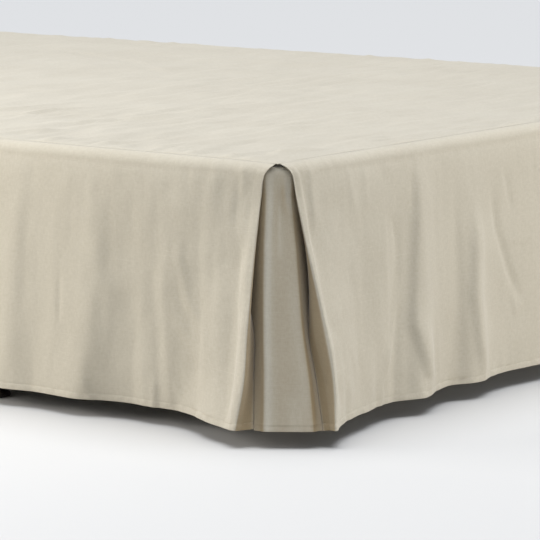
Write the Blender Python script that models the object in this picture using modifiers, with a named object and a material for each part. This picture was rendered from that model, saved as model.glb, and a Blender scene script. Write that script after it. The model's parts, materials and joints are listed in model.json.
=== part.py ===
"""Bed skirt on a bed base.

A linen bed skirt for a queen-size bed. A deck panel lies on the box spring, three drops hang from
seams just inside its edges, and each foot corner has an inverted pleat: both drops fold back at the
corner, and a corner piece joins their returns behind the folds. The head end is open. The box
spring, the steel bed frame, its legs and their glides are built plain.

Metres, +Z up, the floor is z = 0, the foot end faces -Y and the head end +Y. The origin is the
middle of the whole footprint on the floor.

On a side of the bed, "along" runs from the foot corner and "out" away from the plane in which the
cloth hangs at its top. "Down" is measured on the cloth, from the seam to the hem.
"""

import math
import random
from collections import namedtuple

import bmesh
import bpy
from mathutils import Vector

MM = 0.001
INCH = 0.0254

# Bed and skirt
BED_WIDTH = 60 * INCH
BED_LENGTH = 80 * INCH
FRAME_HEIGHT = 7 * INCH
BOX_HEIGHT = 9 * INCH
DROP = 15 * INCH
GAP = 0.3 * MM

# Cloth
CLOTH = 1.5 * MM
LAYER = 2.5 * MM
ROLL = 20 * MM
SEAM_INSET = 16 * MM
SEAM_GAP = 0.5 * MM
SEAM_ALLOWANCE = 6 * MM
SEAM_SPREAD = 2.5 * MM
HEAD_INSET = 4 * MM
FINE_STEP = 19 * MM
COARSE_STEP = 42 * MM

# Box spring
BOX_INSET = 10 * MM
BOX_CORNER = 45 * MM
BOX_EDGE = 22 * MM

# Bed frame
STEEL = 2.5 * MM
RAIL_FLANGE = 38 * MM
RAIL_FROM_FOOT = 130 * MM
RAIL_FROM_HEAD = 40 * MM
BAR_FLANGE = 32 * MM
LEG_FROM_FOOT = 593 * MM
LEG_FROM_HEAD = 540 * MM
LEG_INSET = 34 * MM
LEG_RADIUS = 13 * MM
GLIDE_RADIUS = 35 * MM
GLIDE_HEIGHT = 40 * MM

DECK_TOP = FRAME_HEIGHT + BOX_HEIGHT + GAP + CLOTH
ROLL_CENTRE_Z = DECK_TOP - CLOTH / 2 - ROLL
UPRIGHT = math.pi / 2
SEAM_ANGLE = math.asin((ROLL - SEAM_INSET) / ROLL)
RETURN_ANGLE = math.radians(40)
CORNER_ANGLE = math.radians(30)
ROLL_LENGTH = ROLL * (UPRIGHT - SEAM_ANGLE)
HEM = ROLL_LENGTH + DROP - CLOTH / 2 - ROLL
ROLL_STEPS = 3
HANG_SHARES = (0, 0.09, 0.26, 0.44, 0.62, 0.81, 1)

# One foot corner's pleat, level by level down the cloth, in mm. Points with _a are on the long side
# and points with _b on the foot side, each as (along, out). A drop runs to its fold, round the lip
# and back to the inner seam. The corner piece runs from seam to seam over its two creases.
Level = namedtuple("Level", "down fold_a lip_a inner_a crease_a crease_b inner_b lip_b fold_b")
PLEAT = (
    Level(0, (18, -1.2), (20.5, -2.5), (66, -2.5), (27, -5), (35, -5), (66, -2.5), (20.5, -2.5), (18, -1.2)),
    Level(28, (31, -1.2), (33.5, -2.5), (86, -2.5), (28, -5), (35, -5), (86, -2.5), (34.5, -2.5), (32, -1.2)),
    Level(58, (34, 1), (37, -1.5), (86, -2.5), (27, -4), (33, -5), (86, -2.5), (38, -0.5), (35, 3)),
    Level(132, (31, 20), (33, 15), (80, -2), (22, 8), (27, 8), (78, 0), (39, 15), (36, 22)),
    Level(247, (26, 45), (25.5, 40), (36, 17), (10, 26), (13, 30), (36.5, 24), (28, 38), (31, 58)),
    Level(320, (21, 61), (19.5, 54.5), (25, 31.5), (0, 38), (4, 49), (25, 47), (24, 61), (24, 79)),
    Level(388, (26, 75), (23, 69), (12, 49), (-8, 49), (-8, 65), (12, 69), (12, 83), (10, 92)),
)

# Folds of a drop: place along the side at the hem, half-width, push outwards at the hem, and how
# far the fold leans towards the foot corner on its way up, in mm.
Fold = namedtuple("Fold", "place width push lean")
LEFT_FOLDS = (
    Fold(205, 36, -8, 0),
    Fold(288, 42, -11, 12),
    Fold(334, 16, -3, 30),
    Fold(374, 36, 13, 38),
    Fold(425, 30, 6, 25),
    Fold(520, 52, 14, 10),
    Fold(640, 50, -4, -10),
)
FOOT_FOLDS = (
    Fold(160, 30, 7, -100),
    Fold(303, 36, 22, -60),
    Fold(408, 26, -8, -30),
    Fold(462, 34, 14, -24),
    Fold(560, 36, -3, 0),
    Fold(655, 40, 4, 12),
)

# How a drop leaves its corner fold: softness of the fold, how far its flare is felt along the hem,
# the shape in which it dies away, and how much lower the hem hangs at the inner seam. The long
# side's fold is soft, the foot side's is pressed. Near the top a flare is felt less far.
Leaving = namedtuple("Leaving", "softness reach crisp sag")
LEAVING = {"a": Leaving(12 * MM, 166 * MM, False, 0), "b": Leaving(6 * MM, 200 * MM, True, 2.4 * MM)}
REACH_AT_TOP = 0.6
SHIFT_REACH = 140 * MM
CREASE_SOFTNESS = 5 * MM
CORNER_SAG = 1.5 * MM

# A side of the skirt, and an end of it where a pleat folds back.
Side = namedtuple("Side", "name length flare folds place")
End = namedtuple("End", "letter opening far")


def smooth_between(rows, down):
    """The pleat's points at a level, in metres, on smooth curves through the table's rows."""
    down = max(rows[0].down, min(down, rows[-1].down))
    i = max(k for k in range(len(rows) - 1) if rows[k].down <= down)
    low, high = rows[i], rows[i + 1]
    before, after = rows[max(i - 1, 0)], rows[min(i + 2, len(rows) - 1)]
    span = high.down - low.down
    t = (down - low.down) / span
    points = []
    for column in range(1, len(low)):
        p0, p1, p2, p3 = (Vector(row[column]) for row in (before, low, high, after))
        slope_1 = (p2 - p0) * span / (high.down - before.down)
        slope_2 = (p3 - p1) * span / (after.down - low.down)
        near = (2 * t**3 - 3 * t**2 + 1) * p1 + (t**3 - 2 * t**2 + t) * slope_1
        far = (3 * t**2 - 2 * t**3) * p2 + (t**3 - t**2) * slope_2
        points.append((near + far) * MM)
    return Level(down * MM, *points)


def pleat_level(down, opening):
    """The pleat's points at a level, with its flare eased by a factor."""
    level = smooth_between(PLEAT, down / MM)
    eased = [Vector((p.x, p.y * opening if p.y > 0 else p.y)) for p in level[1:]]
    return Level(down, *eased)


def pleat_points(end, down, *names):
    level = pleat_level(down, end.opening)
    return [getattr(level, f"{name}_{end.letter}") for name in names]


def growth(down):
    """The share of a fold's push that shows at a level: none on the rolled edge, all at the hem."""
    return max(0.0, (down - ROLL_LENGTH) / (HEM - ROLL_LENGTH)) ** 1.25


def loose_folds(first, last, seed):
    """Uneven folds for a stretch of a drop."""
    draw = random.Random(seed)
    folds = []
    place = first
    while place < last:
        push = draw.choice((-1, 1)) * draw.uniform(5, 11) + 3
        folds.append(Fold(place, draw.uniform(30, 52), push, draw.uniform(-30, 30)))
        place += draw.uniform(70, 130)
    return tuple(folds)


def open_hang(side, along, down):
    """How far a drop stands out where no corner fold reaches."""
    share = growth(down)
    out = side.flare * share
    for fold in side.folds:
        centre = (fold.place - fold.lean * (1 - share)) * MM
        out += fold.push * MM * share * math.exp(-(((along - centre) / (fold.width * MM)) ** 2))
    return out


def from_end(side, end, along):
    """Distance from an end's corner, and also the place at such a distance."""
    return side.length - along if end.far else along


def pull(end, distance, down):
    """The share of its corner fold's flare that a drop has at a distance from the fold."""
    leaving = LEAVING[end.letter]
    reach = leaving.reach * (REACH_AT_TOP + (1 - REACH_AT_TOP) * growth(down))
    u = min(max(distance / reach, 0.0), 1.0)
    return (1 - u) ** 1.6 if leaving.crisp else 0.5 + 0.5 * math.cos(math.pi * u)


def drop_out(side, ends, along, down):
    """How far a drop stands out, its corner folds included."""
    out = open_hang(side, along, down)
    for end in ends:
        (fold,) = pleat_points(end, down, "fold")
        lift = fold.y - open_hang(side, from_end(side, end, fold.x), down)
        out += lift * pull(end, from_end(side, end, along) - fold.x, down)
    return out


def rolled(out, angle, down):
    """(out, z) on the cloth: round the rolled edge first, then down."""
    if angle < UPRIGHT:
        radius = ROLL + out
        return radius * math.sin(angle) - ROLL, ROLL_CENTRE_Z + radius * math.cos(angle)
    return out, ROLL_CENTRE_Z - (down - ROLL_LENGTH)


def levels_from(start):
    """The levels of a column that starts at an angle on the rolled edge, as (angle, down)."""
    turns = [start + (UPRIGHT - start) * k / ROLL_STEPS for k in range(ROLL_STEPS)]
    rolling = [(angle, ROLL * (angle - SEAM_ANGLE)) for angle in turns]
    return rolling + [(UPRIGHT, ROLL_LENGTH + (HEM - ROLL_LENGTH) * share) for share in HANG_SHARES]


def rounded(start, corner, end, t):
    """A point on the parabola that rounds a corner off."""
    return (1 - t) ** 2 * start + 2 * t * (1 - t) * corner + t**2 * end


def through(start, middle, end, t):
    """A point on the parabola that runs through three points."""
    return rounded(start, 2 * middle - (start + end) / 2, end, t)


def seam_tail(lip, inner, crease):
    """Away from the pleat's opening, the way that the seam allowance at an inner seam points."""
    return -((lip - inner).normalized() + (crease - inner).normalized()).normalized()


def folded_section(side, ends, end, down):
    """A drop's section at a level, from its inner seam round the lip and the corner fold."""
    fold, lip, inner, crease = pleat_points(end, down, "fold", "lip", "inner", "crease")
    begin = fold.x + LEAVING[end.letter].softness * (0.25 + 0.75 * growth(down))
    start = Vector((begin, drop_out(side, ends, from_end(side, end, begin), down)))
    tail = inner + seam_tail(lip, inner, crease) * SEAM_ALLOWANCE
    round_the_fold = [through(lip, fold, start, k / 4) for k in (1, 2, 3)]
    return [tail, inner, (inner + lip) / 2, lip, *round_the_fold, start]


def folded_columns(side, ends, end):
    """The columns of a drop's folded end. The return starts lower on the rolled edge than the drop."""
    columns = []
    sags = (1, 1, 0.5, 0, 0, 0, 0, 0)
    for k, lowered in enumerate((1, 1, 1, 1, 0.8, 0.45, 0.1, 0)):
        column = []
        for angle, down in levels_from(SEAM_ANGLE + (RETURN_ANGLE - SEAM_ANGLE) * lowered):
            point = folded_section(side, ends, end, down)[k]
            out, z = rolled(point.y, angle, down)
            sag = LEAVING[end.letter].sag * sags[k] * growth(down)
            column.append((from_end(side, end, point.x), out, z - sag))
        columns.append(column)
    return columns


def hanging_column(side, ends, station):
    """A drop's column at a place on the hem, drawn aside by the corner folds on its way up."""
    column = []
    for angle, down in levels_from(SEAM_ANGLE):
        along = station
        for end in ends:
            (hem_fold,) = pleat_points(end, HEM, "fold")
            (fold,) = pleat_points(end, down, "fold")
            share = max(0.0, 1 - (from_end(side, end, station) - hem_fold.x) / SHIFT_REACH) ** 2
            along += (hem_fold.x - fold.x if end.far else fold.x - hem_fold.x) * share
        column.append((along, *rolled(drop_out(side, ends, along, down), angle, down)))
    return column


def evenly(first, last, step):
    count = max(1, round((last - first) / step))
    return [first + (last - first) * k / count for k in range(count)]


def drop(side, ends, fine_to, last, material):
    """One drop, from the fold at its first end to its last place or to the fold at its other end."""
    leaving = [pleat_points(end, HEM, "fold")[0].x + 2.2 * LEAVING[end.letter].softness for end in ends]
    stop = last if len(ends) == 1 else side.length - leaving[1]
    places = evenly(leaving[0], fine_to, FINE_STEP) + evenly(fine_to, stop, COARSE_STEP) + [stop]
    columns = folded_columns(side, ends, ends[0])
    columns += [hanging_column(side, ends, place) for place in places]
    if len(ends) > 1:
        columns += folded_columns(side, ends, ends[1])[::-1]
    return sheet(side.name, [[side.place(*point) for point in column] for column in columns], material)


def corner_section(down, opening):
    """The corner piece's section at a level as points (u, v): u runs from the corner along the foot
    side, v along the long side."""
    halves = []
    for letter in "ab":
        end = End(letter, opening, False)
        lip, inner, crease = pleat_points(end, down, "lip", "inner", "crease")
        away = seam_tail(lip, inner, crease)
        inner = inner + Vector((away.y, -away.x)) * SEAM_SPREAD
        half = [inner + away * SEAM_ALLOWANCE, inner, crease]
        halves.append([Vector((-p.y, p.x)) if letter == "a" else Vector((p.x, -p.y)) for p in half])
    (tail_a, inner_a, crease_a), (tail_b, inner_b, crease_b) = halves
    across = (crease_b - crease_a).normalized() * CREASE_SOFTNESS
    before_a = crease_a + (inner_a - crease_a).normalized() * CREASE_SOFTNESS
    after_b = crease_b + (inner_b - crease_b).normalized() * CREASE_SOFTNESS
    turn_a = [rounded(before_a, crease_a, crease_a + across, k / 4) for k in range(5)]
    turn_b = [rounded(crease_b - across, crease_b, after_b, k / 4) for k in range(5)]
    return [
        tail_a, inner_a, (inner_a + before_a) / 2, *turn_a, (crease_a + crease_b) / 2,
        *turn_b, (after_b + inner_b) / 2, inner_b, tail_b,
    ]  # fmt: skip


def corner_piece(name, opening, across, material):
    """The piece of cloth behind the folds of a foot corner. Across is +1 at the left corner."""
    seam_sag = LEAVING["b"].sag
    end_sags = ((CORNER_SAG + seam_sag) / 2, seam_sag, seam_sag)
    rows = []
    for angle, down in levels_from(CORNER_ANGLE):
        section = corner_section(down, opening)
        sags = [CORNER_SAG] * (len(section) - len(end_sags)) + list(end_sags)
        out, z = rolled(-2 * LAYER, angle, down)
        inwards = -2 * LAYER - out
        row = []
        for k, (point, sag) in enumerate(zip(section, sags)):
            tangent = (section[min(k + 1, len(section) - 1)] - section[max(k - 1, 0)]).normalized()
            point = point + Vector((-tangent.y, tangent.x)) * inwards
            z_here = z - sag * growth(down)
            row.append((across * (point.x - BED_WIDTH / 2), point.y - BED_LENGTH / 2, z_here))
        rows.append(row)
    return sheet(name, list(zip(*rows)), material)


def sheet(name, columns, material):
    """A sheet of cloth lofted over columns of points."""
    mesh = bpy.data.meshes.new(name)
    work = bmesh.new()
    grid = [[work.verts.new(point) for point in column] for column in columns]
    for left, right in zip(grid, grid[1:]):
        for k in range(len(left) - 1):
            work.faces.new((left[k], left[k + 1], right[k + 1], right[k]))
    work.to_mesh(mesh)
    work.free()
    mesh.shade_smooth()
    piece = add(name, mesh, material)
    wall = piece.modifiers.new("cloth", "SOLIDIFY")
    wall.thickness = CLOTH
    wall.offset = 0
    return piece


def add(name, data, material, location=(0, 0, 0)):
    piece = bpy.data.objects.new(name, data)
    parts.objects.link(piece)
    piece.parent = origin
    piece.location = location
    data.materials.append(material)
    return piece


def finish(name, colour, roughness, metallic=0.0):
    material = bpy.data.materials.new(name)
    material.use_nodes = True
    shader = material.node_tree.nodes["Principled BSDF"]
    shader.inputs["Base Color"].default_value = (*colour, 1)
    shader.inputs["Roughness"].default_value = roughness
    shader.inputs["Metallic"].default_value = metallic
    return material


def deck(material):
    """The flat panel on top of the box spring, cut to the seams and to the head edge."""
    half_width = BED_WIDTH / 2 - SEAM_INSET - SEAM_GAP
    foot = -BED_LENGTH / 2 + SEAM_INSET + SEAM_GAP
    head = BED_LENGTH / 2 - HEAD_INSET
    mesh = bpy.data.meshes.new("deck")
    work = bmesh.new()
    corners = ((-half_width, foot), (half_width, foot), (half_width, head), (-half_width, head))
    work.faces.new([work.verts.new((x, y, 0)) for x, y in corners])
    work.to_mesh(mesh)
    work.free()
    piece = add("deck", mesh, material, (0, 0, DECK_TOP))
    wall = piece.modifiers.new("cloth", "SOLIDIFY")
    wall.thickness = CLOTH
    wall.offset = -1
    return piece


def box_spring(material):
    """A padded box with round upright corners and soft top and bottom edges."""
    mesh = bpy.data.meshes.new("box_spring")
    work = bmesh.new()
    bmesh.ops.create_cube(work, size=1)
    size = Vector((BED_WIDTH - 2 * BOX_INSET, BED_LENGTH - 2 * BOX_INSET, BOX_HEIGHT))
    bmesh.ops.scale(work, vec=size, verts=work.verts)
    upright = [e for e in work.edges if abs(e.verts[0].co.z - e.verts[1].co.z) > GAP]
    bmesh.ops.bevel(work, geom=upright, offset=BOX_CORNER, segments=5, profile=0.5, affect="EDGES")
    level = [e for e in work.edges if abs(e.verts[0].co.z - e.verts[1].co.z) < GAP]
    rims = [e for e in level if any(abs(f.normal.z) < 0.5 for f in e.link_faces)]
    bmesh.ops.bevel(work, geom=rims, offset=BOX_EDGE, segments=4, profile=0.5, affect="EDGES")
    work.to_mesh(mesh)
    work.free()
    mesh.shade_smooth()
    mesh.set_sharp_from_angle(angle=math.radians(40))
    return add("box_spring", mesh, material, (0, 0, FRAME_HEIGHT + BOX_HEIGHT / 2))


def angle_iron(name, flange, length, material, location, turn):
    """An L of sheet steel, extruded along its length. It lies with its corner at the location."""
    outline = ((0, 0), (flange, 0), (flange, STEEL), (STEEL, STEEL), (STEEL, flange), (0, flange))
    mesh = bpy.data.meshes.new(name)
    work = bmesh.new()
    face = work.faces.new([work.verts.new((x, 0, z)) for x, z in outline])
    grown = bmesh.ops.extrude_face_region(work, geom=[face])["geom"]
    far_end = [v for v in grown if isinstance(v, bmesh.types.BMVert)]
    bmesh.ops.translate(work, vec=(0, length, 0), verts=far_end)
    bmesh.ops.recalc_face_normals(work, faces=work.faces)
    work.to_mesh(mesh)
    work.free()
    rail = add(name, mesh, material, location)
    rail.rotation_euler = turn
    return rail


def turned(name, profile, material, location):
    """A turned shape, from a profile of (radius, z) that runs from the top of the axis to its foot."""
    mesh = bpy.data.meshes.new(name)
    mesh.from_pydata([(r, 0, z) for r, z in profile], [(k, k + 1) for k in range(len(profile) - 1)], [])
    piece = add(name, mesh, material, location)
    lathe = piece.modifiers.new("lathe", "SCREW")
    lathe.steps = lathe.render_steps = 24
    lathe.use_merge_vertices = True
    lathe.merge_threshold = 0.00005
    lathe.use_smooth_shade = True
    return piece


def bed_frame(steel, plastic):
    """Two side rails on two cross bars, and a leg with a glide under each bar's ends and middle."""
    rail_z = FRAME_HEIGHT - GAP - STEEL
    bar_z = rail_z - GAP
    rail_x = BED_WIDTH / 2 - BOX_INSET + GAP + STEEL
    rail_length = BED_LENGTH - RAIL_FROM_FOOT - RAIL_FROM_HEAD
    rail_y = -BED_LENGTH / 2 + RAIL_FROM_FOOT
    angle_iron("rail_left", RAIL_FLANGE, rail_length, steel, (-rail_x, rail_y, rail_z), (0, 0, 0))
    rail_head = (rail_x, rail_y + rail_length, rail_z)
    angle_iron("rail_right", RAIL_FLANGE, rail_length, steel, rail_head, (0, 0, math.pi))
    leg_x = BED_WIDTH / 2 - LEG_INSET
    legs_y = (-BED_LENGTH / 2 + LEG_FROM_FOOT, BED_LENGTH / 2 - LEG_FROM_HEAD)
    for row, y in zip(("foot", "head"), legs_y):
        bar_y = y + LEG_RADIUS + GAP + STEEL
        bar_end = rail_x - STEEL
        bar_turn = (math.pi, 0, -math.pi / 2)
        angle_iron(f"bar_{row}", BAR_FLANGE, 2 * bar_end, steel, (bar_end, bar_y, bar_z), bar_turn)
        for place, x in (("left", -leg_x), ("middle", 0), ("right", leg_x)):
            glide(f"glide_{row}_{place}", plastic, (x, y, 0))
            leg_top = bar_z - STEEL - GAP
            leg_foot = GLIDE_HEIGHT + GAP
            leg(f"leg_{row}_{place}", leg_top - leg_foot, steel, (x, y, leg_foot))


def leg(name, height, material, location):
    mesh = bpy.data.meshes.new(name)
    work = bmesh.new()
    ring = {"cap_ends": True, "segments": 16, "radius1": LEG_RADIUS, "radius2": LEG_RADIUS, "depth": height}
    bmesh.ops.create_cone(work, **ring)
    bmesh.ops.translate(work, vec=(0, 0, height / 2), verts=work.verts)
    work.to_mesh(mesh)
    work.free()
    mesh.shade_smooth()
    mesh.set_sharp_from_angle(angle=math.radians(40))
    return add(name, mesh, material, location)


def glide(name, material, location):
    """A bell-shaped foot with a thin rim, hollow-sided up to the leg."""
    shares = (
        (0, 1), (0.42, 1), (0.43, 0.62), (0.5, 0.42), (0.64, 0.26), (0.86, 0.15),
        (0.98, 0.12), (1, 0.09), (1, 0.02), (0.98, 0), (0, 0),
    )  # fmt: skip
    profile = [(GLIDE_RADIUS * across, GLIDE_HEIGHT * up) for across, up in shares]
    return turned(name, profile, material, location)


def centre_on_origin():
    """Moves the whole bed so that the middle of its footprint is the origin."""
    bpy.context.view_layer.update()
    graph = bpy.context.evaluated_depsgraph_get()
    corners = []
    for piece in parts.objects:
        if piece.type == "MESH":
            ready = piece.evaluated_get(graph)
            corners += [ready.matrix_world @ v.co for v in ready.to_mesh().vertices]
    for axis in (0, 1):
        values = [corner[axis] for corner in corners]
        origin.location[axis] = -(min(values) + max(values)) / 2


for old in list(bpy.data.objects):
    bpy.data.objects.remove(old)
parts = bpy.data.collections.new("bed_skirt")
bpy.context.scene.collection.children.link(parts)
origin = bpy.data.objects.new("origin", None)
parts.objects.link(origin)

linen = finish("linen", (0.62, 0.57, 0.46), 0.9)
ticking = finish("ticking", (0.78, 0.77, 0.74), 0.85)
frame_steel = finish("frame_steel", (0.045, 0.035, 0.03), 0.45, 0.4)
glide_plastic = finish("glide_plastic", (0.03, 0.02, 0.016), 0.5)

left = Side("drop_left", BED_LENGTH, 8 * MM, LEFT_FOLDS + loose_folds(740, 2000, 3),
            lambda along, out, z: (-BED_WIDTH / 2 - out, along - BED_LENGTH / 2, z))
foot = Side("drop_foot", BED_WIDTH, 28 * MM, FOOT_FOLDS + loose_folds(760, 1380, 5),
            lambda along, out, z: (along - BED_WIDTH / 2, -BED_LENGTH / 2 - out, z))
right = Side("drop_right", BED_LENGTH, 12 * MM, loose_folds(230, 2000, 8),
             lambda along, out, z: (BED_WIDTH / 2 + out, along - BED_LENGTH / 2, z))
FULL, EASED = 1.0, 0.86

deck(linen)
drop(left, [End("a", FULL, False)], 670 * MM, BED_LENGTH - HEAD_INSET, linen)
drop(foot, [End("b", FULL, False), End("b", EASED, True)], 670 * MM, None, linen)
drop(right, [End("a", EASED, False)], 250 * MM, BED_LENGTH - HEAD_INSET, linen)
corner_piece("corner_left", FULL, 1, linen)
corner_piece("corner_right", EASED, -1, linen)
box_spring(ticking)
bed_frame(frame_steel, glide_plastic)
centre_on_origin()
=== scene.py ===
"""Bed skirt on a bed base: linen with its folds, creases, hems and stitching, over a plain base."""

import json
import math
import random
from collections import namedtuple

import bmesh
import bpy
import numpy as np
from mathutils import Matrix, Vector

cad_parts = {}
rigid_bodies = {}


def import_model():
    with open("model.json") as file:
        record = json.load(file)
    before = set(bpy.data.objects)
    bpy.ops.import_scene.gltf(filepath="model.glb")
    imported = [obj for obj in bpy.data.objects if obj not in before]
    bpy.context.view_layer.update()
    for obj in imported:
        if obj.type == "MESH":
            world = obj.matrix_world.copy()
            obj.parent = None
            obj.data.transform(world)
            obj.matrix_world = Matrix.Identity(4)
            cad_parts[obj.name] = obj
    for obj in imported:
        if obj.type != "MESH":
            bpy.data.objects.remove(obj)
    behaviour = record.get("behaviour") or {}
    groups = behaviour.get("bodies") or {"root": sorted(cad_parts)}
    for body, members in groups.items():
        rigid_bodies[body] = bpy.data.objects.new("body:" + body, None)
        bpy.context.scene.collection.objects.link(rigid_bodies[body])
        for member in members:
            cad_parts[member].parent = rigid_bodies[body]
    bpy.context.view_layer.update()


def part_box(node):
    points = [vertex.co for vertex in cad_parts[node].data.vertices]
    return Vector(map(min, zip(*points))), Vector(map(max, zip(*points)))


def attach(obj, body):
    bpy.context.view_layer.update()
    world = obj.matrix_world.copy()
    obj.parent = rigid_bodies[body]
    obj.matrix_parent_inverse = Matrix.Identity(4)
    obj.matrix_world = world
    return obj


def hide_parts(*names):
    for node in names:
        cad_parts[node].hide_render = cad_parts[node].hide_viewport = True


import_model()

# ----------------------------------------
# Deck panel. One rectangle of washed linen that lies on the box spring, turned down a little at
# the seams that join it to the drops. It is creased from folding and slightly rucked by the seams.

MM = 0.001
box_low, box_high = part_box("box_spring")
BED_X = (box_low.x + box_high.x) / 2
BED_Y = (box_low.y + box_high.y) / 2
BOX_INSET = 10 * MM
BED_WIDTH = box_high.x - box_low.x + 2 * BOX_INSET
BED_LENGTH = box_high.y - box_low.y + 2 * BOX_INSET
FOOT_LEFT = (BED_X - BED_WIDTH / 2, BED_Y - BED_LENGTH / 2)
DECK_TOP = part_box("deck")[1].z
LINEN_THICKNESS = 0.8 * MM
SEAM_INSET = 16 * MM
SEAM_GAP = 0.5 * MM
HEAD_INSET = 4 * MM

LINEN_DEEP = (0.345, 0.297, 0.215, 1)
LINEN_PALE = (0.535, 0.495, 0.40, 1)
# A brown that the cloth's colour is multiplied by, to paint shade deep in the pleats.
PLEAT_SHADE_BROWN = (0.62, 0.52, 0.38, 1)


def placed(name, data):
    """A new object in the scene."""
    thing = bpy.data.objects.new(name, data)
    bpy.context.scene.collection.objects.link(thing)
    return thing


class Finish:
    """A material in the making. Inputs are given by socket, as a value or another node's output."""

    def __init__(self, name, inputs):
        self.material = bpy.data.materials.new(name)
        self.material.use_nodes = True
        self.tree = self.material.node_tree
        self.show(inputs)

    def show(self, inputs):
        self.feed(self.tree.nodes["Principled BSDF"], inputs)

    def feed(self, node, inputs):
        for socket, value in inputs.items():
            if isinstance(value, bpy.types.NodeSocket):
                self.tree.links.new(value, node.inputs[socket])
            else:
                node.inputs[socket].default_value = value

    def add(self, kind, output, inputs, **settings):
        """The output of a new node."""
        node = self.tree.nodes.new(f"ShaderNode{kind}")
        for name, value in settings.items():
            setattr(node, name, value)
        self.feed(node, inputs)
        return node.outputs[output]

    def noise(self, place, scale, detail, roughness=0.5):
        inputs = {"Vector": place, "Scale": scale, "Detail": detail, "Roughness": roughness}
        return self.add("TexNoise", "Fac", inputs)

    def between(self, value, low, high, to_low, to_high):
        inputs = {"From Min": low, "From Max": high, "To Min": to_low, "To Max": to_high, "Value": value}
        return self.add("MapRange", "Result", inputs)

    def sum(self, a, b, share=1.0):
        """The sum of a share of a, and b."""
        return self.add("Math", "Value", {0: a, 1: share, 2: b}, operation="MULTIPLY_ADD")

    def mixed(self, blend, factor, a, b, clamped=True):
        inputs = {"Factor": factor, "A": a, "B": b}
        return self.add("Mix", "Result", inputs, data_type="RGBA", blend_type=blend, clamp_factor=clamped)

    def bump(self, height, strength, distance):
        return self.add("Bump", "Normal", {"Height": height, "Strength": strength, "Distance": distance})


def linen():
    """Natural linen. The cut attribute is the place on the flat cloth, in metres. A second
    attribute paints shade into the cloth deep in the pleats, where little light reaches, by
    multiplying its colour by a brown. Below 0 it paints highlights, making the cloth paler."""
    shader = {"Roughness": 0.88, "Specular IOR Level": 0.25, "Sheen Weight": 0.15, "Sheen Roughness": 0.5}
    finish = Finish("natural_linen", shader)
    place = finish.add("Attribute", "Vector", {}, attribute_name="cut")

    def threads(scale, detail, roughness=0.5):
        """Noise stretched along or across the cloth. Scale is in lumps per metre."""
        stretched = finish.add("Mapping", "Vector", {"Vector": place, "Scale": scale}, vector_type="POINT")
        return finish.noise(stretched, 1, detail, roughness)

    def about(noise, reach):
        """Lighter and darker places, by up to a reach."""
        return finish.between(noise, 0.3, 0.7, -reach, reach)

    def peaks(noise, height):
        """The peaks of a noise alone, as the thick places of single threads."""
        return finish.between(noise, 0.63, 0.78, 0, height)

    weave = finish.sum(about(threads((1300, 90, 1), 2), 0.04), about(threads((80, 1300, 1), 2), 0.04))
    slubs = finish.sum(peaks(threads((420, 9, 3), 1), 0.04), peaks(threads((8, 420, 5), 1), 0.06))
    cloud = finish.sum(about(threads((210, 170, 1), 4, 0.6), 0.05), about(threads((7, 5, 1), 2), 0.03))
    tone = finish.between(finish.sum(finish.sum(weave, slubs), cloud), -0.2, 0.2, 0.26, 1.0)
    colour = finish.mixed("MIX", tone, LINEN_DEEP, LINEN_PALE)
    # Painted shade in the pleats; below 0, painted highlights that make the cloth paler.
    folded_in = finish.add("Attribute", "Fac", {}, attribute_name="folded_in")
    colour = finish.mixed("MULTIPLY", folded_in, colour, PLEAT_SHADE_BROWN, clamped=False)
    height = finish.sum(weave, slubs, 0.8)
    finish.show({"Base Color": colour, "Normal": finish.bump(height, 0.35, 2 * MM)})
    return finish.material


LINEN = linen()


def plain(draft, name):
    """A piece with a mesh of its own, from an object with its modifiers applied."""
    graph = bpy.context.evaluated_depsgraph_get()
    mesh = bpy.data.meshes.new_from_object(draft.evaluated_get(graph))
    mesh.name = name
    bpy.data.objects.remove(draft)
    piece = placed(name, mesh)
    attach(piece, "root")
    return piece


def cloth(name, points, cut, raised, folded_in=None):
    """A closed thin sheet over a grid of points (rows, columns, 3), raised along its normals."""
    down, along = np.gradient(points, axis=0), np.gradient(points, axis=1)
    normals = np.cross(along, down)
    normals /= np.maximum(np.linalg.norm(normals, axis=2, keepdims=True), 1e-12)
    points = points + normals * raised[..., None]
    rows, columns = points.shape[:2]
    first = (np.arange(rows - 1)[:, None] * columns + np.arange(columns - 1)).ravel()
    quads = np.stack([first, first + 1, first + columns + 1, first + columns], axis=1)
    mesh = bpy.data.meshes.new(name)
    mesh.from_pydata(points.reshape(-1, 3).tolist(), [], quads.tolist())
    places = mesh.attributes.new("cut", "FLOAT_VECTOR", "POINT")
    flat = np.concatenate([cut.reshape(-1, 2), np.zeros((rows * columns, 1))], axis=1)
    places.data.foreach_set("vector", flat.ravel().astype(np.float32))
    # The painted shade and painted highlights of the cloth, for its material.
    shade_paint = mesh.attributes.new("folded_in", "FLOAT", "POINT")
    if folded_in is not None:
        shade_paint.data.foreach_set("value", folded_in.ravel().astype(np.float32))
    mesh.shade_smooth()
    mesh.materials.append(LINEN)
    draft = placed(name, mesh)
    wall = draft.modifiers.new("thickness", "SOLIDIFY")
    wall.thickness = LINEN_THICKNESS
    wall.offset = 0
    piece = plain(draft, name)
    return piece


def smooth(t):
    """An even rise from 0 to 1 that starts and ends level."""
    return t * t * (3 - 2 * t)


# The shapes on the cloth are given in mm. Lumps are a random relief with a usual length along and
# down the cloth. A crease is a soft ridge along a path, or a trough where its height is negative,
# and its two flanks have their own widths. It fades over a share of its length at each end.
Lumps = namedtuple("Lumps", "height along down seed")
Crease = namedtuple("Crease", "height before after path")
CREASE_FADE = 0.25
CREASE_TIP = 0.15


def crease_rows(*rows):
    return tuple(Crease(*row) for row in rows)


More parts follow.
